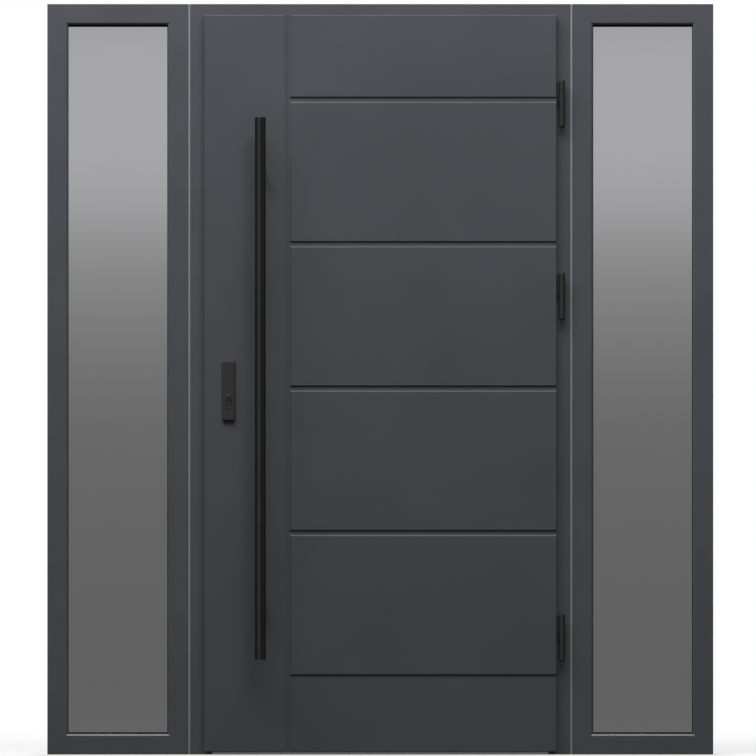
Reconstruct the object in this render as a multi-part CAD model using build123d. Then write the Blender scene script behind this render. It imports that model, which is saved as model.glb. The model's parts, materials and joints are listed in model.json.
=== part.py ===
from build123d import *
import os

# Exterior door: a flush leaf with pressed grooves and a long pull bar, hung on three barrel
# hinges in a rebated frame, between two fixed glazed sidelites.
# Millimetres. X runs along the wall, -Y is the outdoor side, +Z is up. The origin is the middle
# of the threshold's underside.

# Whole unit
FRAME_HEIGHT = 2080
FRAME_DEPTH = 76
DOOR_FRAME_WIDTH = 1054
JOINT_STRIP_WIDTH = 5
JOINT_STRIP_RECESS = 1
SIDELITE_WIDTH = 391
EDGE_CHAMFER = 1

# Door frame section
JAMB_FACE = 61
STOP_PROJECTION = 15
STOP_THICKNESS = 14
STOP_CHAMFER = 2
THRESHOLD_HEIGHT = 12
THRESHOLD_STOP_HEIGHT = 27
THRESHOLD_NOSE = 4
SEAL_WIDTH = 8
SEAL_HEIGHT = 6

# Sidelite section
SIDELITE_FACE = 51.5
GLAZING_BEVEL = 5
GLAZING_BEVEL_DEPTH = 3.2
GLAZING_LIP = 10
SIDELITE_BODY = 38
GASKET_THICKNESS = 3
GASKET_COVER = 11
GASKET_SHOWING = 2
PANE_THICKNESS = 4
PANE_CAVITY = 16
PANE_EDGE_CLEARANCE = 3
SPACER_WIDTH = 8
SPACER_INSET = 2
BEAD_WIDTH = 18
BEAD_RECESS = 4
BEAD_SLOPE_WIDTH = 8
BEAD_SLOPE_DEPTH = 12
MITRE_GAP = 0.2

# Leaf
LEAF_LAP = 22
LEAF_TOP_REVEAL = 31
LEAF_FLOOR_CLEARANCE = 8
LIP_THICKNESS = 18
LIP_EDGE_RADIUS = 2
LIP_FRAME_CLEARANCE = 5
CORE_JAMB_CLEARANCE = 8
CORE_THRESHOLD_CLEARANCE = 8
SEAL_LEAF_CLEARANCE = 5
STILE_WIDTH = 60
INNER_PANEL_THICKNESS = 6

# Grooves of the leaf's two faces
LEVEL_GROOVE_WALL = 4.5
LEVEL_GROOVE_FLOOR = 9
UPRIGHT_GROOVE_LOCK_WALL = 10
UPRIGHT_GROOVE_HINGE_WALL = 4
UPRIGHT_GROOVE_FLOOR = 4
OUTER_GROOVE_DEPTH = 4
INNER_GROOVE_DEPTH = 3
GROOVE_COUNT = 5
GROOVE_PITCH = 400
LOWEST_GROOVE_HEIGHT = 214
UPRIGHT_GROOVE_FROM_LOCK_EDGE = 234.5

# Pull bar
PULL_DIAMETER = 30
PULL_WALL = 2
PULL_LENGTH = 1500
PULL_CENTER_HEIGHT = 1015
PULL_FROM_LOCK_EDGE = 156
PULL_GAP = 45
POST_DIAMETER = 20
POST_FOOT_DIAMETER = 30
POST_FOOT_THICKNESS = 4
POST_FROM_END = 150
CAP_THICKNESS = 3
CAP_PLUG_LENGTH = 10
CAP_CHAMFER = 1

# Lock
CYLINDER_FROM_LOCK_EDGE = 68
CYLINDER_HEIGHT = 986
CYLINDER_HEAD_DIAMETER = 17
CYLINDER_TAIL_WIDTH = 10
CYLINDER_TAIL_DROP = 24.5
CYLINDER_PROUD = 3
CYLINDER_CLEARANCE = 0.3
PLUG_DIAMETER = 13
PLUG_RING_WIDTH = 0.6
PLUG_RING_DEPTH = 0.8
KEYWAY_WIDTH = 2.2
KEYWAY_HEIGHT = 8.5
KEYWAY_DEPTH = 12
ESCUTCHEON_WIDTH = 36
ESCUTCHEON_HEIGHT = 168
ESCUTCHEON_THICKNESS = 10
ESCUTCHEON_CENTER_ABOVE_CYLINDER = 22
ESCUTCHEON_CORNER_RADIUS = 6
ESCUTCHEON_EDGE_RADIUS = 5
LEVER_ABOVE_CYLINDER = 72
LEVER_DIAMETER = 18
LEVER_LENGTH = 125
LEVER_STAND_OFF = 40
LEVER_BEND_RADIUS = 14
LEVER_END_RADIUS = 3
FACEPLATE_WIDTH = 20
FACEPLATE_HEIGHT = 260
FACEPLATE_THICKNESS = 3
FACEPLATE_FROM_LIP = 28
BOLT_THICKNESS = 14
BOLT_LENGTH = 18
BOLT_RECESS = 0.5
BOLT_CLEARANCE = 0.3
LATCH_HEIGHT = 24
DEADBOLT_HEIGHT = 34
DEADBOLT_ABOVE_CYLINDER = 15
STRIKE_ROOM = 3
STRIKE_POCKET_DEPTH = 20

# Hinges
TOP_HINGE_BELOW_TOP = 276
MIDDLE_HINGE_BELOW_TOP = 809
BOTTOM_HINGE_HEIGHT = 325
HINGE_LENGTH = 130
BARREL_DIAMETER = 16
BARREL_END_RADIUS = 3
BARREL_LEAF_GAP = 8
AXIS_BEHIND_LEAF_FACE = 3
KNUCKLE_GAP = 0.6
PIN_DIAMETER = 8
PIN_CLEARANCE = 0.05
PIN_END_COVER = 7
WEB_THICKNESS = 6
WING_THICKNESS = 4
WING_MARGIN = 7
BASE_THICKNESS = 4
BASE_MARGIN = 4
STEM_WIDTH = 12

# Fixing holes in the outer stiles, two pairs a side
FIXING_DIAMETER = 10
FIXING_FROM_FACE = 25
FIXINGS_FROM_ENDS = (250, 777)

# Places worked out from the sizes above
FRONT = -FRAME_DEPTH / 2
BACK = FRAME_DEPTH / 2
FRAME_SIDE = DOOR_FRAME_WIDTH / 2
UNIT_SIDE = FRAME_SIDE + JOINT_STRIP_WIDTH + SIDELITE_WIDTH
REBATE_SIDE = FRAME_SIDE - JAMB_FACE
OPENING_SIDE = REBATE_SIDE - STOP_PROJECTION
REBATE_TOP = FRAME_HEIGHT - JAMB_FACE
STOP_FACE = BACK - STOP_THICKNESS
SEAL_FACE = STOP_FACE - SEAL_HEIGHT

LEAF_SIDE = REBATE_SIDE + LEAF_LAP
LEAF_TOP = FRAME_HEIGHT - LEAF_TOP_REVEAL
LIP_BACK = FRONT - LIP_FRAME_CLEARANCE
LEAF_FACE = LIP_BACK - LIP_THICKNESS
CORE_SIDE = REBATE_SIDE - CORE_JAMB_CLEARANCE
CORE_TOP = REBATE_TOP - CORE_JAMB_CLEARANCE
CORE_BOTTOM = THRESHOLD_HEIGHT + CORE_THRESHOLD_CLEARANCE
INNER_FACE = SEAL_FACE - SEAL_LEAF_CLEARANCE
CORE_BACK = INNER_FACE - INNER_PANEL_THICKNESS

GROOVE_X = -LEAF_SIDE + UPRIGHT_GROOVE_FROM_LOCK_EDGE
GROOVE_HEIGHTS = [LOWEST_GROOVE_HEIGHT + GROOVE_PITCH * step for step in range(GROOVE_COUNT)]

PULL_X = -LEAF_SIDE + PULL_FROM_LOCK_EDGE
PULL_Y = LEAF_FACE - PULL_GAP - PULL_DIAMETER / 2
POST_SPREAD = PULL_LENGTH / 2 - POST_FROM_END
POST_HEIGHTS = (PULL_CENTER_HEIGHT - POST_SPREAD, PULL_CENTER_HEIGHT + POST_SPREAD)

CYLINDER_X = -LEAF_SIDE + CYLINDER_FROM_LOCK_EDGE
LEVER_HEIGHT = CYLINDER_HEIGHT + LEVER_ABOVE_CYLINDER
DEADBOLT_Z = CYLINDER_HEIGHT + DEADBOLT_ABOVE_CYLINDER
ESCUTCHEON_Z = CYLINDER_HEIGHT + ESCUTCHEON_CENTER_ABOVE_CYLINDER
FACEPLATE_Y = LIP_BACK + FACEPLATE_FROM_LIP
FACEPLATE_Z = CYLINDER_HEIGHT + LEVER_ABOVE_CYLINDER / 2
BOLTS = ((LEVER_HEIGHT, LATCH_HEIGHT), (DEADBOLT_Z, DEADBOLT_HEIGHT))

HINGE_HEIGHTS = {
    "top": FRAME_HEIGHT - TOP_HINGE_BELOW_TOP,
    "middle": FRAME_HEIGHT - MIDDLE_HINGE_BELOW_TOP,
    "bottom": BOTTOM_HINGE_HEIGHT,
}
AXIS_X = LEAF_SIDE + BARREL_LEAF_GAP + BARREL_DIAMETER / 2
AXIS_Y = LEAF_FACE + AXIS_BEHIND_LEAF_FACE

GASKET_EDGE = SIDELITE_FACE + GLAZING_BEVEL + GASKET_SHOWING
PANE_EDGE = SIDELITE_BODY + PANE_EDGE_CLEARANCE
OUTER_PANE_FRONT = GLAZING_LIP + GASKET_THICKNESS
INNER_PANE_FRONT = OUTER_PANE_FRONT + PANE_THICKNESS + PANE_CAVITY
BEAD_FRONT = INNER_PANE_FRONT + PANE_THICKNESS + GASKET_THICKNESS

OUT = Vector(0, -1, 0)
IN = Vector(0, 1, 0)
UP = Vector(0, 0, 1)
ALONG = Vector(1, 0, 0)


def block(x, y, z):
    """Box between the low and high values given for each axis."""
    size = (x[1] - x[0], y[1] - y[0], z[1] - z[0])
    return Pos(x[0], y[0], z[0]) * Box(*size, align=(Align.MIN, Align.MIN, Align.MIN))


def outline(points):
    """Flat face with straight edges through the points."""
    return make_face(Polyline(*points, close=True))


def extrude_z(points, low, high):
    """Solid with an outline in X and Y, from one height to another."""
    return extrude(Plane.XY.offset(low) * outline(points), amount=high - low)


def extrude_y(face, near, far):
    """Solid with an outline in X and Z, through the wall from near to far."""
    plane = Plane(origin=(0, far, 0), x_dir=ALONG, z_dir=OUT)
    return extrude(plane * face, amount=far - near)


def extrude_x(points, left, right):
    """Solid with an outline in Y and Z, along the wall from left to right."""
    plane = Plane(origin=(left, 0, 0), x_dir=IN, z_dir=ALONG)
    return extrude(plane * outline(points), amount=right - left)


def rod(center, direction, radius, length):
    """Round bar that starts at a point and runs along a direction."""
    plane = Plane(origin=center, z_dir=direction)
    return extrude(plane * Circle(radius), amount=length)


def frame_member(section, rectangle, side, gap=0, square_foot=False):
    """One side of a rectangular frame, mitred at its corners.

    The section's points are (inward from the outer edge, back from the outdoor face).
    """
    left, right, bottom, top = rectangle
    reach = max(inward for inward, back in section)
    depth = [back for inward, back in section]
    foot = 0 if square_foot else reach
    low, high = bottom + gap / 2, top - gap / 2
    if side in ("left", "right"):
        edge, turn = (left, 1) if side == "left" else (right, -1)
        bar = extrude_z([(edge + turn * u, FRONT + v) for u, v in section], bottom, top)
        inner = edge + turn * reach
        kept = [(edge, low), (edge, high), (inner, high - reach), (inner, low + foot)]
    else:
        edge, turn = (bottom, 1) if side == "bottom" else (top, -1)
        bar = extrude_x([(FRONT + v, edge + turn * u) for u, v in section], left, right)
        inner = edge + turn * reach
        first, last = left + gap / 2, right - gap / 2
        kept = [(first, edge), (last, edge), (last - reach, inner), (first + reach, inner)]
    return bar & extrude_y(outline(kept), FRONT + min(depth), FRONT + max(depth))


def door_frame():
    """Two jambs and a head of one rebated section, with a stop at the back of the rebate."""
    stop_edge = JAMB_FACE + STOP_PROJECTION
    stop_front = FRAME_DEPTH - STOP_THICKNESS
    section = [
        (0, EDGE_CHAMFER),
        (EDGE_CHAMFER, 0),
        (JAMB_FACE - EDGE_CHAMFER, 0),
        (JAMB_FACE, EDGE_CHAMFER),
        (JAMB_FACE, stop_front),
        (stop_edge, stop_front),
        (stop_edge, FRAME_DEPTH - STOP_CHAMFER),
        (stop_edge - STOP_CHAMFER, FRAME_DEPTH),
        (EDGE_CHAMFER, FRAME_DEPTH),
        (0, FRAME_DEPTH - EDGE_CHAMFER),
    ]
    rectangle = (-FRAME_SIDE, FRAME_SIDE, 0, FRAME_HEIGHT)
    return {
        "lock_jamb": frame_member(section, rectangle, "left", square_foot=True) - strike_recess(),
        "hinge_jamb": frame_member(section, rectangle, "right", square_foot=True),
        "frame_head": frame_member(section, rectangle, "top"),
    }


def threshold():
    """Low sill with a raised stop along its indoor edge, coped round the jambs' stops."""
    section = [
        (FRONT, 0),
        (FRONT, THRESHOLD_HEIGHT - THRESHOLD_NOSE),
        (FRONT + THRESHOLD_NOSE, THRESHOLD_HEIGHT),
        (STOP_FACE, THRESHOLD_HEIGHT),
        (STOP_FACE, THRESHOLD_STOP_HEIGHT - STOP_CHAMFER),
        (STOP_FACE + STOP_CHAMFER, THRESHOLD_STOP_HEIGHT),
        (BACK - STOP_CHAMFER, THRESHOLD_STOP_HEIGHT),
        (BACK, THRESHOLD_STOP_HEIGHT - STOP_CHAMFER),
        (BACK, 0),
    ]
    sill = extrude_x(section, -REBATE_SIDE, REBATE_SIDE)
    heights = (0, THRESHOLD_STOP_HEIGHT)
    for ends in ((-REBATE_SIDE, -OPENING_SIDE), (OPENING_SIDE, REBATE_SIDE)):
        sill -= block(ends, (STOP_FACE, BACK), heights)
    return sill


def frame_seals():
    """Soft strips with a rounded nose, along the stops of both jambs and of the head."""
    middle = JAMB_FACE + STOP_PROJECTION / 2
    back = STOP_FACE - FRONT
    half = SEAL_WIDTH / 2
    shoulder = SEAL_HEIGHT / 3
    section = [
        (middle - half, back),
        (middle - half, back - SEAL_HEIGHT + shoulder),
        (middle - half + shoulder, back - SEAL_HEIGHT),
        (middle + half - shoulder, back - SEAL_HEIGHT),
        (middle + half, back - SEAL_HEIGHT + shoulder),
        (middle + half, back),
    ]
    rectangle = (-FRAME_SIDE, FRAME_SIDE, 0, FRAME_HEIGHT)
    above_sill = block(
        (-FRAME_SIDE, FRAME_SIDE), (FRONT, BACK), (THRESHOLD_STOP_HEIGHT, FRAME_HEIGHT)
    )
    strips = [
        frame_member(section, rectangle, side, MITRE_GAP, square_foot=True) & above_sill
        for side in ("left", "right", "top")
    ]
    return Compound(strips)


def sidelite_section():
    """Stile and rail section: a bevelled lip outdoors and an open glazing rebate behind it."""
    return [
        (0, EDGE_CHAMFER),
        (EDGE_CHAMFER, 0),
        (SIDELITE_FACE, 0),
        (SIDELITE_FACE + GLAZING_BEVEL, GLAZING_BEVEL_DEPTH),
        (SIDELITE_FACE + GLAZING_BEVEL, GLAZING_LIP),
        (SIDELITE_BODY, GLAZING_LIP),
        (SIDELITE_BODY, FRAME_DEPTH - EDGE_CHAMFER),
        (SIDELITE_BODY - EDGE_CHAMFER, FRAME_DEPTH),
        (EDGE_CHAMFER, FRAME_DEPTH),
        (0, FRAME_DEPTH - EDGE_CHAMFER),
    ]


def gasket_section(front):
    """Flat strip between a pane and the lip or bead that clamps it."""
    inner = GASKET_EDGE - GASKET_SHOWING - GASKET_COVER
    back = front + GASKET_THICKNESS
    return [(inner, front), (GASKET_EDGE, front), (GASKET_EDGE, back), (inner, back)]


def four_sides(section, rectangle):
    """Four mitred strips round a rectangle, a hair apart at the corners."""
    sides = ("left", "right", "bottom", "top")
    return [frame_member(section, rectangle, side, MITRE_GAP) for side in sides]


def pane(rectangle, front):
    """One sheet of the double glazing."""
    left, right, bottom, top = rectangle
    return block(
        (left + PANE_EDGE, right - PANE_EDGE),
        (FRONT + front, FRONT + front + PANE_THICKNESS),
        (bottom + PANE_EDGE, top - PANE_EDGE),
    )


def fixing_holes(edge, inward):
    """Holes through an outer stile for the screws that hold it to the wall."""
    holes = []
    for distance in FIXINGS_FROM_ENDS:
        for height in (distance, FRAME_HEIGHT - distance):
            mouth = (edge, FRONT + FIXING_FROM_FACE, height)
            holes.append(rod(mouth, ALONG * inward, FIXING_DIAMETER / 2, SIDELITE_BODY))
    return holes


def sidelite(name, left, outer_side):
    """A fixed glazed light: frame, double glazing, its spacer, gaskets and indoor beads."""
    right = left + SIDELITE_WIDTH
    rectangle = (left, right, 0, FRAME_HEIGHT)
    section = sidelite_section()
    inner_side = "right" if outer_side == "left" else "left"
    outer_edge, inward = (left, 1) if outer_side == "left" else (right, -1)
    outer_stile = frame_member(section, rectangle, outer_side)
    for hole in fixing_holes(outer_edge, inward):
        outer_stile -= hole

    spacer_edge = PANE_EDGE + SPACER_INSET
    spacer_front = OUTER_PANE_FRONT + PANE_THICKNESS
    spacer = [
        (spacer_edge, spacer_front),
        (spacer_edge + SPACER_WIDTH, spacer_front),
        (spacer_edge + SPACER_WIDTH, INNER_PANE_FRONT),
        (spacer_edge, INNER_PANE_FRONT),
    ]
    bead_edge = SIDELITE_BODY + BEAD_WIDTH
    bead_back = FRAME_DEPTH - BEAD_RECESS
    bead = [
        (SIDELITE_BODY, BEAD_FRONT),
        (bead_edge, BEAD_FRONT),
        (bead_edge, bead_back - BEAD_SLOPE_DEPTH),
        (bead_edge - BEAD_SLOPE_WIDTH, bead_back),
        (SIDELITE_BODY, bead_back),
    ]
    outer_gasket = four_sides(gasket_section(GLAZING_LIP), rectangle)
    inner_gasket = four_sides(gasket_section(BEAD_FRONT - GASKET_THICKNESS), rectangle)
    return {
        f"{name}_outer_stile": outer_stile,
        f"{name}_inner_stile": frame_member(section, rectangle, inner_side),
        f"{name}_head_rail": frame_member(section, rectangle, "top"),
        f"{name}_bottom_rail": frame_member(section, rectangle, "bottom"),
        f"{name}_outer_pane": pane(rectangle, OUTER_PANE_FRONT),
        f"{name}_inner_pane": pane(rectangle, INNER_PANE_FRONT),
        f"{name}_spacer": Compound(four_sides(spacer, rectangle)),
        f"{name}_gaskets": Compound(outer_gasket + inner_gasket),
        f"{name}_beads": Compound(four_sides(bead, rectangle)),
    }


def joint_strip(left):
    """Pale strip that closes the joint between the door frame and a sidelite."""
    depth = (FRONT + JOINT_STRIP_RECESS, BACK - JOINT_STRIP_RECESS)
    return block((left, left + JOINT_STRIP_WIDTH), depth, (0, FRAME_HEIGHT))


def groove_profile(face_y, depth, into, first_wall, floor, second_wall):
    """Points (across, y) of a groove round its floor's middle, with a wall width for each side."""
    deep = face_y + into * depth
    half = floor / 2
    return [
        (-half - first_wall, face_y),
        (-half, deep),
        (half, deep),
        (half + second_wall, face_y),
    ]


def cut_grooves(panel, face_y, depth, into, side, bottom, top):
    """The upright groove, and the level ones that run from it to the hinge edge.

    The lowest level groove has a square lower wall.
    """
    upright = groove_profile(
        face_y,
        depth,
        into,
        UPRIGHT_GROOVE_LOCK_WALL,
        UPRIGHT_GROOVE_FLOOR,
        UPRIGHT_GROOVE_HINGE_WALL,
    )
    panel -= extrude_z([(GROOVE_X + across, y) for across, y in upright], bottom, top)
    for step, height in enumerate(GROOVE_HEIGHTS):
        lower_wall = LEVEL_GROOVE_WALL if step else 0
        level = groove_profile(
            face_y, depth, into, lower_wall, LEVEL_GROOVE_FLOOR, LEVEL_GROOVE_WALL
        )
        panel -= extrude_x([(y, height + across) for across, y in level], GROOVE_X, side)
    return panel


def cylinder_outline(clearance=0):
    """Round head over a narrow round-ended tail, as a lock cylinder has."""
    head = Pos(CYLINDER_X, CYLINDER_HEIGHT) * Circle(CYLINDER_HEAD_DIAMETER / 2 + clearance)
    tail_radius = CYLINDER_TAIL_WIDTH / 2 + clearance
    foot_height = CYLINDER_HEIGHT - CYLINDER_TAIL_DROP + CYLINDER_TAIL_WIDTH / 2
    foot = Pos(CYLINDER_X, foot_height) * Circle(tail_radius)
    tail_size = (2 * tail_radius, CYLINDER_HEIGHT - foot_height)
    tail = Pos(CYLINDER_X, foot_height) * Rectangle(*tail_size, align=(Align.CENTER, Align.MIN))
    return head + tail + foot


def cylinder_hole(near, far):
    """Room for the lock cylinder through a piece of the leaf."""
    return extrude_y(cylinder_outline(CYLINDER_CLEARANCE), near, far)


def outer_panel():
    """Outdoor face of the leaf: a thick grooved panel that laps over the frame."""
    panel = block(
        (-LEAF_SIDE, LEAF_SIDE), (LEAF_FACE, LIP_BACK), (LEAF_FLOOR_CLEARANCE, LEAF_TOP)
    )
    rim = panel.faces().sort_by(Axis.Y)[0].edges()
    panel = fillet(rim, LIP_EDGE_RADIUS)
    panel = cut_grooves(
        panel, LEAF_FACE, OUTER_GROOVE_DEPTH, 1, LEAF_SIDE, LEAF_FLOOR_CLEARANCE, LEAF_TOP
    )
    return panel - cylinder_hole(LEAF_FACE, LIP_BACK)


def inner_panel():
    """Indoor face of the leaf, with the same grooves."""
    panel = block((-CORE_SIDE, CORE_SIDE), (CORE_BACK, INNER_FACE), (CORE_BOTTOM, CORE_TOP))
    panel = cut_grooves(
        panel, INNER_FACE, INNER_GROOVE_DEPTH, -1, CORE_SIDE, CORE_BOTTOM, CORE_TOP
    )
    return panel - cylinder_hole(CORE_BACK, INNER_FACE)


def faceplate_block():
    """The lock's faceplate, let into the edge of the lock stile."""
    half_width = FACEPLATE_WIDTH / 2
    half_height = FACEPLATE_HEIGHT / 2
    return block(
        (-CORE_SIDE, -CORE_SIDE + FACEPLATE_THICKNESS),
        (FACEPLATE_Y - half_width, FACEPLATE_Y + half_width),
        (FACEPLATE_Z - half_height, FACEPLATE_Z + half_height),
    )


def bolt_block(center, height, clearance=0):
    """One bolt of the lock, drawn back behind the faceplate."""
    half = BOLT_THICKNESS / 2 + clearance
    mouth = 0 if clearance else BOLT_RECESS
    return block(
        (-CORE_SIDE + mouth, -CORE_SIDE + BOLT_LENGTH + clearance),
        (FACEPLATE_Y - half, FACEPLATE_Y + half),
        (center - height / 2 - clearance, center + height / 2 + clearance),
    )


def leaf_edges():
    """Two stiles and two rails between the leaf's panels."""
    depth = (LIP_BACK, CORE_BACK)
    inner_side = CORE_SIDE - STILE_WIDTH
    height = (CORE_BOTTOM, CORE_TOP)
    lock_stile = block((-CORE_SIDE, -inner_side), depth, height)
    lock_stile -= cylinder_hole(*depth)
    lock_stile -= faceplate_block()
    for center, size in BOLTS:
        lock_stile -= bolt_block(center, size, BOLT_CLEARANCE)
    rail_width = (-inner_side, inner_side)
    return {
        "leaf_lock_stile": lock_stile,
        "leaf_hinge_stile": block((inner_side, CORE_SIDE), depth, height),
        "leaf_top_rail": block(rail_width, depth, (CORE_TOP - STILE_WIDTH, CORE_TOP)),
        "leaf_bottom_rail": block(rail_width, depth, (CORE_BOTTOM, CORE_BOTTOM + STILE_WIDTH)),
    }


def lock_parts():
    """Faceplate and bolts in the leaf's edge."""
    faceplate = faceplate_block()
    for center, size in BOLTS:
        faceplate -= bolt_block(center, size, BOLT_CLEARANCE)
    bolts = [bolt_block(center, size) for center, size in BOLTS]
    return {"lock_faceplate": faceplate, "lock_bolts": Compound(bolts)}


def strike_room(center, height, depth):
    """Room for a bolt in the strike plate and in the jamb behind it."""
    half = BOLT_THICKNESS / 2 + STRIKE_ROOM
    return block(
        (-REBATE_SIDE - depth, -REBATE_SIDE),
        (FACEPLATE_Y - half, FACEPLATE_Y + half),
        (center - height / 2 - STRIKE_ROOM, center + height / 2 + STRIKE_ROOM),
    )


def strike_blank():
    """Strike plate before its bolt holes, flush with the lock jamb's rebate."""
    half_width = BOLT_THICKNESS / 2 + 2 * STRIKE_ROOM
    return block(
        (-REBATE_SIDE - FACEPLATE_THICKNESS, -REBATE_SIDE),
        (FACEPLATE_Y - half_width, FACEPLATE_Y + half_width),
        (FACEPLATE_Z - FACEPLATE_HEIGHT / 2, FACEPLATE_Z + FACEPLATE_HEIGHT / 2),
    )


def strike_recess():
    """Seat of the strike plate in the lock jamb, with the pockets behind it."""
    recess = strike_blank()
    for center, size in BOLTS:
        recess += strike_room(center, size, STRIKE_POCKET_DEPTH)
    return recess


def strike_plate():
    """Plate in the lock jamb with a hole for each bolt."""
    plate = strike_blank()
    for center, size in BOLTS:
        plate -= strike_room(center, size, FACEPLATE_THICKNESS)
    return plate


def key_cylinder():
    """Lock cylinder through the leaf, with a ring round its plug and a keyway at each end."""
    outdoor_end = LEAF_FACE - ESCUTCHEON_THICKNESS - CYLINDER_PROUD
    indoor_end = INNER_FACE + ESCUTCHEON_THICKNESS + CYLINDER_PROUD
    cylinder = extrude_y(cylinder_outline(), outdoor_end, indoor_end)
    ring = Circle(PLUG_DIAMETER / 2 + PLUG_RING_WIDTH) - Circle(PLUG_DIAMETER / 2)
    keyway = Rectangle(KEYWAY_WIDTH, KEYWAY_HEIGHT)
    center = Pos(CYLINDER_X, CYLINDER_HEIGHT)
    for face, into in ((outdoor_end, 1), (indoor_end, -1)):
        for shape, depth in ((ring, PLUG_RING_DEPTH), (keyway, KEYWAY_DEPTH)):
            ends = sorted((face, face + into * depth))
            cylinder -= extrude_y(center * shape, *ends)
    return cylinder


def escutcheon(near, far, show):
    """Long cover plate of the lock, with soft edges on the side that shows."""
    plate = extrude_y(
        Pos(CYLINDER_X, ESCUTCHEON_Z)
        * RectangleRounded(ESCUTCHEON_WIDTH, ESCUTCHEON_HEIGHT, ESCUTCHEON_CORNER_RADIUS),
        near,
        far,
    )
    rim = plate.faces().sort_by(Axis(origin=(0, 0, 0), direction=show))[-1].edges()
    plate = fillet(rim, min(ESCUTCHEON_EDGE_RADIUS, 0.9 * ESCUTCHEON_CORNER_RADIUS))
    return plate - cylinder_hole(near, far)


def inner_lever():
    """Bent round lever on the indoor cover plate, pointing away from the lock edge."""
    plate = INNER_FACE + ESCUTCHEON_THICKNESS
    neck_end = plate + LEVER_STAND_OFF
    tip = CYLINDER_X + LEVER_LENGTH
    points = [
        (CYLINDER_X, plate, LEVER_HEIGHT),
        (CYLINDER_X, neck_end, LEVER_HEIGHT),
        (tip, neck_end, LEVER_HEIGHT),
    ]
    path = FilletPolyline(*points, radius=LEVER_BEND_RADIUS)
    lever = sweep(Plane(origin=points[0], z_dir=IN) * Circle(LEVER_DIAMETER / 2), path=path)
    tip_rim = lever.faces().sort_by(Axis.X)[-1].edges()
    return fillet(tip_rim, LEVER_END_RADIUS)


def pull_handle():
    """Round tube with capped ends, standing off the leaf on two posts."""
    radius = PULL_DIAMETER / 2
    bottom = PULL_CENTER_HEIGHT - PULL_LENGTH / 2
    foot = (PULL_X, PULL_Y, bottom + CAP_THICKNESS)
    tube_length = PULL_LENGTH - 2 * CAP_THICKNESS
    bore = rod(foot, UP, radius - PULL_WALL, tube_length)
    tube = rod(foot, UP, radius, tube_length) - bore
    envelope = rod((PULL_X, PULL_Y, bottom), UP, radius, PULL_LENGTH)

    lower_cap = rod((PULL_X, PULL_Y, bottom), UP, radius, CAP_THICKNESS)
    lower_cap = chamfer(lower_cap.edges().sort_by(Axis.Z)[0], CAP_CHAMFER)
    lower_cap += rod(foot, UP, radius - PULL_WALL, CAP_PLUG_LENGTH)
    middle = Plane.XY.offset(PULL_CENTER_HEIGHT)
    upper_cap = mirror(lower_cap, about=middle)

    posts = []
    for height in POST_HEIGHTS:
        start = (PULL_X, LEAF_FACE, height)
        post = rod(start, OUT, POST_DIAMETER / 2, LEAF_FACE - PULL_Y)
        post += rod(start, OUT, POST_FOOT_DIAMETER / 2, POST_FOOT_THICKNESS)
        posts.append(post - envelope)
    return {
        "pull_bar": tube,
        "pull_bar_caps": Compound([lower_cap, upper_cap]),
        "pull_bar_posts": Compound(posts),
    }


def hinge_knuckle(low, high, rounded_end, blind_end):
    """Half of a barrel: rounded at its free end, bored for the pin from the other."""
    axis = (AXIS_X, AXIS_Y, low)
    barrel = rod(axis, UP, BARREL_DIAMETER / 2, high - low)
    barrel = fillet(barrel.edges().sort_by(Axis.Z)[rounded_end], BARREL_END_RADIUS)
    bore_low = low if rounded_end else low + blind_end
    bore_length = high - low - blind_end
    bore_radius = PIN_DIAMETER / 2 + PIN_CLEARANCE
    return barrel, rod((AXIS_X, AXIS_Y, bore_low), UP, bore_radius, bore_length)


def hinge(name, center):
    """Two-part barrel hinge: frame half below with the pin, leaf half above."""
    bottom, top = center - HINGE_LENGTH / 2, center + HINGE_LENGTH / 2
    frame_top, leaf_bottom = center - KNUCKLE_GAP / 2, center + KNUCKLE_GAP / 2

    barrel, bore = hinge_knuckle(bottom, frame_top, 0, PIN_END_COVER)
    base_front = FRONT - BASE_THICKNESS
    half_stem = STEM_WIDTH / 2
    heights = (bottom + WING_MARGIN, frame_top - WING_MARGIN)
    stem = block((AXIS_X - half_stem, AXIS_X + half_stem), (AXIS_Y, base_front), heights)
    base = block(
        (AXIS_X - BARREL_DIAMETER / 2, AXIS_X + BARREL_DIAMETER / 2),
        (base_front, FRONT),
        (bottom + BASE_MARGIN, frame_top - BASE_MARGIN),
    )
    frame_half = barrel + stem + base - bore

    barrel, bore = hinge_knuckle(leaf_bottom, top, -1, PIN_END_COVER)
    heights = (leaf_bottom + WING_MARGIN, top - WING_MARGIN)
    web_front = AXIS_Y + BARREL_DIAMETER / 4
    web = block((LEAF_SIDE, AXIS_X), (web_front, web_front + WEB_THICKNESS), heights)
    wing = block((LEAF_SIDE, LEAF_SIDE + WING_THICKNESS), (web_front, LIP_BACK), heights)
    leaf_half = barrel + web + wing - bore

    pin_foot = (AXIS_X, AXIS_Y, bottom + PIN_END_COVER)
    pin_length = HINGE_LENGTH - 2 * PIN_END_COVER - PIN_CLEARANCE
    pin = rod(pin_foot, UP, PIN_DIAMETER / 2, pin_length)
    return {
        f"hinge_{name}_frame_half": frame_half,
        f"hinge_{name}_leaf_half": leaf_half,
        f"hinge_{name}_pin": pin,
    }


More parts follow.
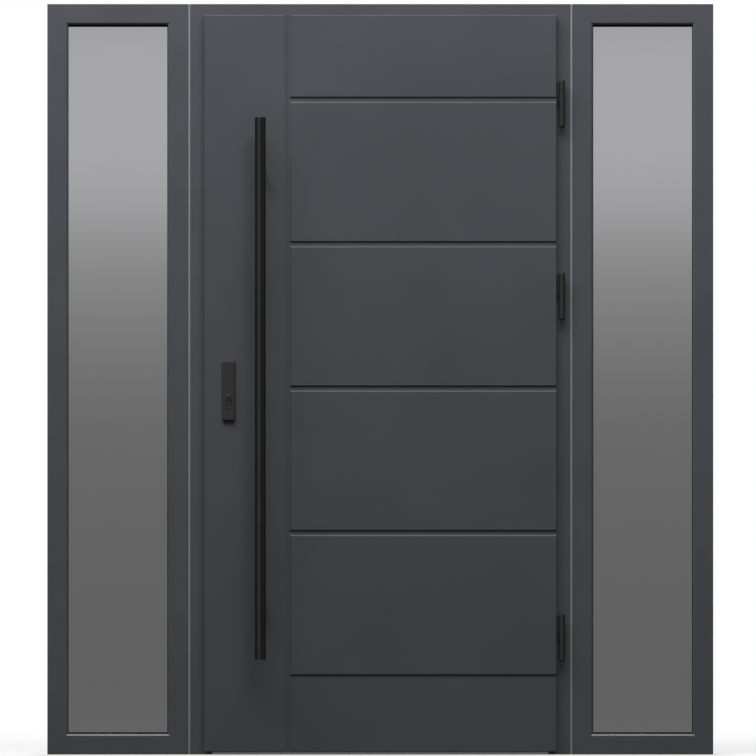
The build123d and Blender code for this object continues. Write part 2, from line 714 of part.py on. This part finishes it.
def build():
    """Every piece of the unit by its name."""
    nodes = door_frame()
    nodes["threshold"] = threshold()
    nodes["frame_seals"] = frame_seals()
    nodes["strike_plate"] = strike_plate()
    nodes["left_joint_strip"] = joint_strip(-FRAME_SIDE - JOINT_STRIP_WIDTH)
    nodes["right_joint_strip"] = joint_strip(FRAME_SIDE)
    nodes |= sidelite("left_sidelite", -UNIT_SIDE, "left")
    nodes |= sidelite("right_sidelite", UNIT_SIDE - SIDELITE_WIDTH, "right")
    nodes["leaf_outer_panel"] = outer_panel()
    nodes |= leaf_edges()
    nodes["leaf_inner_panel"] = inner_panel()
    nodes |= lock_parts()
    nodes["key_cylinder"] = key_cylinder()
    nodes["outer_escutcheon"] = escutcheon(LEAF_FACE - ESCUTCHEON_THICKNESS, LEAF_FACE, OUT)
    nodes["inner_escutcheon"] = escutcheon(INNER_FACE, INNER_FACE + ESCUTCHEON_THICKNESS, IN)
    nodes["inner_lever"] = inner_lever()
    nodes |= pull_handle()
    for name, center in HINGE_HEIGHTS.items():
        nodes |= hinge(name, center)
    return nodes


os.makedirs("parts", exist_ok=True)
for node, shape in build().items():
    export_step(shape, f"parts/{node}.step")
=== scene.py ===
import json
import math

import bmesh
import bpy
from mathutils import Matrix, Vector


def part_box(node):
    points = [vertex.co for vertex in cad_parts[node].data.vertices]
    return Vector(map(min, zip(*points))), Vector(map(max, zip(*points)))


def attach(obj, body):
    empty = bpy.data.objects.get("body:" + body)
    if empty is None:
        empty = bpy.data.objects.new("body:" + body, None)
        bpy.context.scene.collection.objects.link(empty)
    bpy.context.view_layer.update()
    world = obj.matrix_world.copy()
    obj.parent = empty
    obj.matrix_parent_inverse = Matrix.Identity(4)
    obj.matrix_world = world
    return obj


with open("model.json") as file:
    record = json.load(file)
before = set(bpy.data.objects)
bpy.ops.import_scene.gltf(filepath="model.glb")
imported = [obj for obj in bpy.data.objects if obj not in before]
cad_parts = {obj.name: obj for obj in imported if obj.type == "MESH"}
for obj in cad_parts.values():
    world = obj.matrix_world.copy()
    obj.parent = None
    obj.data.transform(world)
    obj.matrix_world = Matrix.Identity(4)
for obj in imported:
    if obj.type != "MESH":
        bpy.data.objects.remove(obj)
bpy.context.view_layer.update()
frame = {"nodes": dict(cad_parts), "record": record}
MM = 0.001

# Linear colours of the finishes
ANTHRACITE_LEAF = (0.069, 0.071, 0.0815)
ANTHRACITE_FRAME = (0.077, 0.079, 0.0905)
BLACK_COAT = (0.0056, 0.0056, 0.0058)
HINGE_BLACK = (0.014, 0.014, 0.0135)
BLACK_PLATE = (0.030, 0.030, 0.0305)
CYLINDER_BLACK = (0.014, 0.014, 0.014)
RUBBER_BLACK = (0.010, 0.010, 0.011)
GLASS_BODY = (0.020, 0.021, 0.022)
STRIP_GREY = (0.255, 0.255, 0.265)
STEEL_GREY = (0.50, 0.50, 0.51)
SILL_GREY = (0.30, 0.30, 0.31)


def shade(color, factor):
    """A colour made lighter or darker, with full opacity."""
    return (*(min(1.0, part * factor) for part in color), 1.0)


def add_node(tree, kind, place, **settings):
    """A shader node with the given settings of its own."""
    node = tree.nodes.new(kind)
    node.location = place
    for name, value in settings.items():
        setattr(node, name, value)
    return node


def noise(tree, coordinates, scale, detail, stretch, place):
    """Noise in the piece's own space, stretched along its axes."""
    mapping = add_node(tree, "ShaderNodeMapping", (place[0] - 200, place[1]))
    mapping.inputs["Scale"].default_value = stretch
    tree.links.new(coordinates, mapping.inputs["Vector"])
    texture = add_node(tree, "ShaderNodeTexNoise", place)
    texture.inputs["Scale"].default_value = scale
    texture.inputs["Detail"].default_value = detail
    tree.links.new(mapping.outputs["Vector"], texture.inputs["Vector"])
    return texture.outputs["Fac"]


def ramp(tree, value, stops, place):
    """Colour ramp through (position, colour) stops."""
    node = add_node(tree, "ShaderNodeValToRGB", place)
    elements = node.color_ramp.elements
    while len(elements) < len(stops):
        elements.new(0.5)
    for element, (position, color) in zip(elements, stops):
        element.position = position
        element.color = color
    tree.links.new(value, node.inputs["Fac"])
    return node.outputs["Color"]


def finish(name, color, roughness, metallic=0.0, spread=0.06, cloud=6.0, grain=900.0,
           bump=0.08, stretch=(1, 1, 1), roughness_spread=0.05, ior=1.5, specular=0.25):
    """A coat or metal with soft clouding in its colour, uneven gloss and a fine grain."""
    material = bpy.data.materials.new(name)
    material.use_nodes = True
    tree = material.node_tree
    shader = tree.nodes["Principled BSDF"]
    shader.inputs["Metallic"].default_value = metallic
    shader.inputs["IOR"].default_value = ior
    shader.inputs["Specular IOR Level"].default_value = specular
    space = add_node(tree, "ShaderNodeTexCoord", (-1200, 0)).outputs["Object"]

    clouds = noise(tree, space, cloud, 3.0, stretch, (-800, 300))
    tint = [(0.3, shade(color, 1 - spread)), (0.7, shade(color, 1 + spread))]
    tree.links.new(ramp(tree, clouds, tint, (-500, 300)), shader.inputs["Base Color"])

    patches = noise(tree, space, cloud * 3, 2.0, stretch, (-800, 0))
    gloss = add_node(tree, "ShaderNodeMapRange", (-500, 0))
    gloss.inputs["To Min"].default_value = max(0.0, roughness - roughness_spread)
    gloss.inputs["To Max"].default_value = roughness + roughness_spread
    tree.links.new(patches, gloss.inputs["Value"])
    tree.links.new(gloss.outputs["Result"], shader.inputs["Roughness"])

    peel = noise(tree, space, grain, 2.0, stretch, (-800, -300))
    relief = add_node(tree, "ShaderNodeBump", (-500, -300))
    relief.inputs["Strength"].default_value = bump
    relief.inputs["Distance"].default_value = 0.2 * MM
    tree.links.new(peel, relief.inputs["Height"])
    tree.links.new(relief.outputs["Normal"], shader.inputs["Normal"])
    return material


MATERIALS = {
    "frame_paint": finish("anthracite_frame", ANTHRACITE_FRAME, 0.25),
    "leaf_paint": finish("anthracite_leaf", ANTHRACITE_LEAF, 0.50, cloud=4.0),
    "leaf_edge": finish("anthracite_edge", ANTHRACITE_LEAF, 0.52),
    "sill": finish("anodised_sill", SILL_GREY, 0.38, metallic=0.9, grain=300.0, stretch=(0.05, 1, 1)),
    "rubber": finish("black_rubber", RUBBER_BLACK, 0.75, spread=0.15, grain=1500.0, bump=0.2,
                     specular=0.1),
    "glass": finish("coated_glass", GLASS_BODY, 0.03, spread=0.02, cloud=1.5, grain=3.0, bump=0.005,
                    roughness_spread=0.01, ior=4.4, specular=0.5),
    "spacer": finish("black_spacer", RUBBER_BLACK, 0.6, spread=0.1),
    "joint_strip": finish("satin_strip", STRIP_GREY, 0.45, metallic=0.2, stretch=(1, 1, 0.02)),
    "steel": finish("brushed_steel", STEEL_GREY, 0.30, metallic=1.0, stretch=(1, 1, 0.03), bump=0.15),
    "black_fittings": finish("satin_black", BLACK_COAT, 0.36, spread=0.12, cloud=20.0, bump=0.12,
                             specular=0.2),
    "cylinder": finish("dark_cylinder", CYLINDER_BLACK, 0.35, cloud=60.0),
}
BLACK_PLATES = finish("textured_black", BLACK_PLATE, 0.45, spread=0.12, cloud=20.0, bump=0.3,
                      specular=0.15)
BLACK_HINGES = finish("hinge_black", HINGE_BLACK, 0.40, spread=0.12, cloud=20.0, bump=0.15)

slots = {part["node"]: part["material_slot"] for part in frame["record"]["subparts"]}
for name, node in frame["nodes"].items():
    material = MATERIALS[slots[name]]
    if name.endswith("escutcheon"):
        material = BLACK_PLATES
    elif name.startswith("hinge_") and name.endswith("_half"):
        material = BLACK_HINGES
    node.data.materials.clear()
    node.data.materials.append(material)


def mesh_piece(name, shape, body, slot):
    """A new named piece that rides on a body and wears the finish of a slot."""
    mesh = bpy.data.meshes.new(name)
    bmesh.ops.recalc_face_normals(shape, faces=shape.faces)
    shape.to_mesh(mesh)
    shape.free()
    piece = bpy.data.objects.new(name, mesh)
    bpy.context.scene.collection.objects.link(piece)
    mesh.materials.append(MATERIALS[slot])
    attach(piece, body)
    return piece


def lathe(shape, profile, matrix, steps=32):
    """Adds a turned solid: (radius, height) points spun round the matrix's Z."""
    rings = []
    for radius, height in profile:
        if radius == 0:
            rings.append([shape.verts.new(matrix @ Vector((0, 0, height)))])
            continue
        ring = []
        for step in range(steps):
            turn = 2 * math.pi * step / steps
            point = Vector((radius * math.cos(turn), radius * math.sin(turn), height))
            ring.append(shape.verts.new(matrix @ point))
        rings.append(ring)
    for lower, upper in zip(rings, rings[1:]):
        for step in range(steps):
            after = (step + 1) % steps
            corners = [lower[step % len(lower)], lower[after % len(lower)],
                       upper[after % len(upper)], upper[step % len(upper)]]
            shape.faces.new(list(dict.fromkeys(corners)))


def facing(point, direction):
    """Matrix at a point, its Z along a direction."""
    return Matrix.Translation(point) @ direction.to_track_quat("Z", "Y").to_matrix().to_4x4()


def screws(name, places, direction, radius, height, body, slot):
    """Low screw heads with a round socket, as one piece."""
    shape = bmesh.new()
    socket = 0.45 * radius
    profile = [
        (0, 0),
        (radius, 0),
        (radius, 0.4 * height),
        (0.8 * radius, 0.85 * height),
        (socket * 1.15, height),
        (socket, 0.9 * height),
        (socket, 0.25 * height),
        (0, 0.2 * height),
    ]
    for place in places:
        lathe(shape, profile, facing(Vector(place), direction))
    return mesh_piece(name, shape, body, slot)


# Screws of the lock's faceplate and of the strike plate
PLATE_SCREW_RADIUS = 4 * MM
PLATE_SCREW_HEIGHT = 0.6 * MM
PLATE_SCREW_INSET = 12 * MM
plate_low, plate_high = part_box("lock_faceplate")
across = (plate_low.y + plate_high.y) / 2
ends = [plate_low.z + PLATE_SCREW_INSET, plate_high.z - PLATE_SCREW_INSET]
screws("faceplate_screws", [(plate_low.x, across, end) for end in ends], Vector((-1, 0, 0)),
       PLATE_SCREW_RADIUS, PLATE_SCREW_HEIGHT, "leaf", "steel")
strike_low, strike_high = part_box("strike_plate")
across = (strike_low.y + strike_high.y) / 2
ends = [strike_low.z + PLATE_SCREW_INSET, strike_high.z - PLATE_SCREW_INSET]
screws("strike_screws", [(strike_high.x, across, end) for end in ends], Vector((1, 0, 0)),
       PLATE_SCREW_RADIUS, PLATE_SCREW_HEIGHT, "frame", "steel")

# Screws of the indoor cover plate
COVER_SCREW_RADIUS = 3.5 * MM
COVER_SCREW_HEIGHT = 1.2 * MM
COVER_SCREW_INSET = 10 * MM
cover_low, cover_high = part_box("inner_escutcheon")
center = (cover_low.x + cover_high.x) / 2
ends = [cover_low.z + COVER_SCREW_INSET, cover_high.z - COVER_SCREW_INSET]
screws("escutcheon_screws", [(center, cover_high.y, end) for end in ends], Vector((0, 1, 0)),
       COVER_SCREW_RADIUS, COVER_SCREW_HEIGHT, "leaf", "black_fittings")

# Screws that hold each hinge's wing to the leaf's edge
HINGE_WING_THICKNESS = 4 * MM
HINGE_SCREW_RADIUS = 2.2 * MM
HINGE_SCREW_HEIGHT = 0.8 * MM
HINGE_SCREW_INSET = 15 * MM
HINGE_SCREW_FROM_BACK = 2.4 * MM
panel_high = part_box("leaf_outer_panel")[1]
wing_face = panel_high.x + HINGE_WING_THICKNESS
screw_depth = panel_high.y - HINGE_SCREW_FROM_BACK
for place in ("top", "middle", "bottom"):
    low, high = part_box(f"hinge_{place}_leaf_half")
    ends = [low.z + HINGE_SCREW_INSET, high.z - HINGE_SCREW_INSET]
    screws(f"hinge_{place}_leaf_screws", [(wing_face, screw_depth, end) for end in ends],
           Vector((1, 0, 0)), HINGE_SCREW_RADIUS, HINGE_SCREW_HEIGHT, "leaf", "black_fittings")


def extrude_along_x(shape, section, start, end):
    """Adds a bar with a section of (y, z) points from one X to another."""
    left = [shape.verts.new((start, y, z)) for y, z in section]
    right = [shape.verts.new((end, y, z)) for y, z in section]
    shape.faces.new(left)
    shape.faces.new(right[::-1])
    for index in range(len(section)):
        after = (index + 1) % len(section)
        shape.faces.new((left[after], left[index], right[index], right[after]))


# Soft lips of the outdoor gaskets, wider over and under each pane; the wider dark lip over each pane
# is painted shade, a rubber strip standing in for the shadow under the head
GASKET_WIDTH = 13 * MM
LIP_AND_SHADE_AT_HEAD = 4.6 * MM
LIP_AT_FOOT = 2.8 * MM
LIP_THICKNESS = 2.4 * MM
for side in ("left", "right"):
    low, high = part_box(f"{side}_sidelite_gaskets")
    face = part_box(f"{side}_sidelite_outer_pane")[0].y
    shape = bmesh.new()
    for edge, reach in ((high.z - GASKET_WIDTH, -LIP_AND_SHADE_AT_HEAD), (low.z + GASKET_WIDTH, LIP_AT_FOOT)):
        section = [
            (face, edge),
            (face - LIP_THICKNESS, edge),
            (face - 0.75 * LIP_THICKNESS, edge + 0.6 * reach),
            (face - 0.25 * LIP_THICKNESS, edge + reach),
            (face, edge + reach),
        ]
        if reach < 0:
            section.reverse()
        extrude_along_x(shape, section, low.x + GASKET_WIDTH, high.x - GASKET_WIDTH)
    mesh_piece(f"{side}_glazing_lips_and_shade", shape, "frame", "rubber")

# Ribs along the sill, under the leaf's core
RIB_COUNT = 6
RIB_START = 14 * MM
RIB_SPACING = 6 * MM
RIB_WIDTH = 2.4 * MM
RIB_SLOPE = 0.6 * MM
RIB_HEIGHT = 0.8 * MM
SILL_TOP = 12 * MM
sill_low, sill_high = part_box("threshold")
shape = bmesh.new()
for row in range(RIB_COUNT):
    near = sill_low.y + RIB_START + RIB_SPACING * row
    far = near + RIB_WIDTH
    section = [(near, SILL_TOP), (near + RIB_SLOPE, SILL_TOP + RIB_HEIGHT),
               (far - RIB_SLOPE, SILL_TOP + RIB_HEIGHT), (far, SILL_TOP)]
    extrude_along_x(shape, section, sill_low.x, sill_high.x)
mesh_piece("threshold_ribs", shape, "frame", "sill")


# Floor: its half width, its depth under the object, and where it starts and ends turning white
FLOOR_REACH = 3.0
FLOOR_DROP = 1 * MM
FLOOR_FADE = (1.6, 2.9)


def floor_material():
    """Pale to the eye, with shadows, white towards its edges, and a calm grey to everything else."""
    material = bpy.data.materials.new("pale_floor")
    material.use_nodes = True
    tree = material.node_tree
    tree.nodes.clear()
    output = add_node(tree, "ShaderNodeOutputMaterial", (800, 0))
    path = add_node(tree, "ShaderNodeLightPath", (0, 300))
    space = add_node(tree, "ShaderNodeTexCoord", (-600, 100)).outputs["Object"]
    distance = add_node(tree, "ShaderNodeVectorMath", (-400, 100), operation="LENGTH")
    fade = add_node(tree, "ShaderNodeMapRange", (-200, 100))
    fade.inputs["From Min"].default_value = FLOOR_FADE[0]
    fade.inputs["From Max"].default_value = FLOOR_FADE[1]
    edge = add_node(tree, "ShaderNodeEmission", (200, -180))
    faded = add_node(tree, "ShaderNodeMixShader", (400, -50))
    pale = add_node(tree, "ShaderNodeBsdfDiffuse", (0, 0))
    pale.inputs["Color"].default_value = (0.30, 0.30, 0.30, 1)
    glow = add_node(tree, "ShaderNodeEmission", (0, -150))
    glow.inputs["Strength"].default_value = 0.48
    lit = add_node(tree, "ShaderNodeAddShader", (200, -50))
    calm = add_node(tree, "ShaderNodeBsdfDiffuse", (200, -300))
    calm.inputs["Color"].default_value = (0.10, 0.10, 0.10, 1)
    mix = add_node(tree, "ShaderNodeMixShader", (600, 0))
    tree.links.new(space, distance.inputs[0])
    tree.links.new(distance.outputs["Value"], fade.inputs["Value"])
    tree.links.new(pale.outputs[0], lit.inputs[0])
    tree.links.new(glow.outputs[0], lit.inputs[1])
    tree.links.new(fade.outputs["Result"], faded.inputs[0])
    tree.links.new(lit.outputs[0], faded.inputs[1])
    tree.links.new(edge.outputs[0], faded.inputs[2])
    tree.links.new(path.outputs["Is Camera Ray"], mix.inputs[0])
    tree.links.new(calm.outputs[0], mix.inputs[1])
    tree.links.new(faded.outputs[0], mix.inputs[2])
    tree.links.new(mix.outputs[0], output.inputs["Surface"])
    return material


mesh = bpy.data.meshes.new("floor")
signs = [(-1, -1), (1, -1), (1, 1), (-1, 1)]
corners = [(x * FLOOR_REACH, y * FLOOR_REACH, -FLOOR_DROP) for x, y in signs]
mesh.from_pydata(corners, [], [(0, 1, 2, 3)])
floor = bpy.data.objects.new("floor", mesh)
bpy.context.scene.collection.objects.link(floor)
mesh.materials.append(floor_material())
floor.visible_glossy = False

# Studio surroundings: white to the eye, bright above and darker towards the ground for the rest
world = bpy.data.worlds.new("studio")
bpy.context.scene.world = world
world.use_nodes = True
tree = world.node_tree
tree.nodes.clear()
output = add_node(tree, "ShaderNodeOutputWorld", (1000, 0))
path = add_node(tree, "ShaderNodeLightPath", (300, 300))
white = add_node(tree, "ShaderNodeBackground", (300, -150))
direction = add_node(tree, "ShaderNodeTexCoord", (-600, 0)).outputs["Generated"]
split = add_node(tree, "ShaderNodeSeparateXYZ", (-400, 0))
tree.links.new(direction, split.inputs["Vector"])


def grey(level, blue=1.0):
    """A neutral linear colour, or a slightly blue one."""
    return (level / math.sqrt(blue), level / math.sqrt(blue), level * blue, 1.0)


# Greys by the sine of the height above the horizon: what gloss and glass mirror, and what lights
MIRRORED = [
    (-0.0245, grey(0.308)),
    (-0.0217, grey(0.285)),
    (-0.0093, grey(0.305)),
    (-0.0032, grey(0.337)),
    (0.0014, grey(0.417)),
    (0.0044, grey(0.493)),
    (0.0075, grey(0.578)),
    (0.0105, grey(0.756, 1.01)),
    (0.0120, grey(0.867, 1.02)),
    (0.0137, grey(0.945, 1.03)),
    (0.0165, grey(0.97, 1.03)),
    (0.0225, grey(0.97, 1.03)),
    # The darker last stop is painted shade: mirrored in the glass from in front, it darkens each pane
    # just under its head
    (0.0240, grey(0.87, 1.03)),
]
LIGHTING = [
    (-1.0, grey(0.02)),
    (0.0, grey(0.08)),
    (0.2, grey(0.25)),
    (0.6, grey(0.6)),
    (1.0, grey(0.9)),
]
# Share of the mirrored grey that is left further from the horizon
FADING = [
    (-0.60, grey(0.35)),
    (-0.25, grey(0.55)),
    (-0.10, grey(0.85)),
    (-0.03, grey(1.0)),
    (0.03, grey(1.0)),
    (0.60, grey(0.7)),
]


def by_height(levels, place):
    """Colour that changes with the height above the horizon."""
    low, high = levels[0][0], levels[-1][0]
    rise = add_node(tree, "ShaderNodeMapRange", (place[0] - 200, place[1]))
    rise.inputs["From Min"].default_value = low
    rise.inputs["From Max"].default_value = high
    tree.links.new(split.outputs["Z"], rise.inputs["Value"])
    stops = [((sine - low) / (high - low), color) for sine, color in levels]
    return ramp(tree, rise.outputs["Result"], stops, place)


mirrored = add_node(tree, "ShaderNodeBackground", (500, 0))
fade = add_node(tree, "ShaderNodeMix", (300, 0), data_type="RGBA", blend_type="MULTIPLY")
fade.inputs["Factor"].default_value = 1.0
tree.links.new(by_height(MIRRORED, (0, 0)), fade.inputs["A"])
tree.links.new(by_height(FADING, (0, -250)), fade.inputs["B"])
tree.links.new(fade.outputs["Result"], mirrored.inputs["Color"])
lighting = add_node(tree, "ShaderNodeBackground", (500, -500))
lighting.inputs["Strength"].default_value = 0.40
tree.links.new(by_height(LIGHTING, (0, -500)), lighting.inputs["Color"])
white.inputs["Color"].default_value = grey(1.0)
seen = add_node(tree, "ShaderNodeMixShader", (600, 0))
tree.links.new(path.outputs["Is Glossy Ray"], seen.inputs[0])
tree.links.new(lighting.outputs[0], seen.inputs[1])
tree.links.new(mirrored.outputs[0], seen.inputs[2])
mix = add_node(tree, "ShaderNodeMixShader", (800, 0))
tree.links.new(path.outputs["Is Camera Ray"], mix.inputs[0])
tree.links.new(seen.outputs[0], mix.inputs[1])
tree.links.new(white.outputs[0], mix.inputs[2])
tree.links.new(mix.outputs[0], output.inputs["Surface"])


def softbox(name, place, target, width, height, power):
    """Rectangular lamp that points at a target."""
    lamp = bpy.data.lights.new(name, "AREA")
    lamp.shape = "RECTANGLE"
    lamp.size = width
    lamp.size_y = height
    lamp.energy = power
    holder = bpy.data.objects.new(name, lamp)
    holder.location = place
    holder.rotation_mode = "QUATERNION"
    holder.rotation_quaternion = (Vector(target) - Vector(place)).to_track_quat("-Z", "Y")
    bpy.context.scene.collection.objects.link(holder)
    return holder


softbox("key", (-0.8, -2.2, 5.0), (0, 0, 1.2), 6.0, 1.6, 302)
softbox("fill", (0.4, 3.0, 5.0), (0, 0, 1.1), 4.0, 2.0, 320)
glint = softbox("glint", (-2.4, -4.3, 1.3), (0, 0, 1.1), 0.5, 3.0, 62)
glint.visible_diffuse = False
fittings = bpy.data.collections.new("fittings")
for name, slot in slots.items():
    if slot in ("black_fittings", "cylinder"):
        fittings.objects.link(frame["nodes"][name])
glint.light_linking.receiver_collection = fittings

# Camera straight in front, far out, with the picture's middle and half width at the object's face
DISTANCE = 40.0
FACE = -0.038
MIDDLE_X = -0.00636
MIDDLE_Z = 1.0434
HALF_WIDTH = 1.04785
camera = bpy.data.cameras.new("camera")
viewer = bpy.data.objects.new("camera", camera)
bpy.context.scene.collection.objects.link(viewer)
viewer.location = (MIDDLE_X, FACE - DISTANCE, MIDDLE_Z)
viewer.rotation_euler = (math.radians(90), 0, 0)
camera.angle = 2 * math.atan(HALF_WIDTH / DISTANCE)
camera.clip_end = 200
bpy.context.scene.camera = viewer
bpy.context.scene.view_settings.view_transform = "Standard"
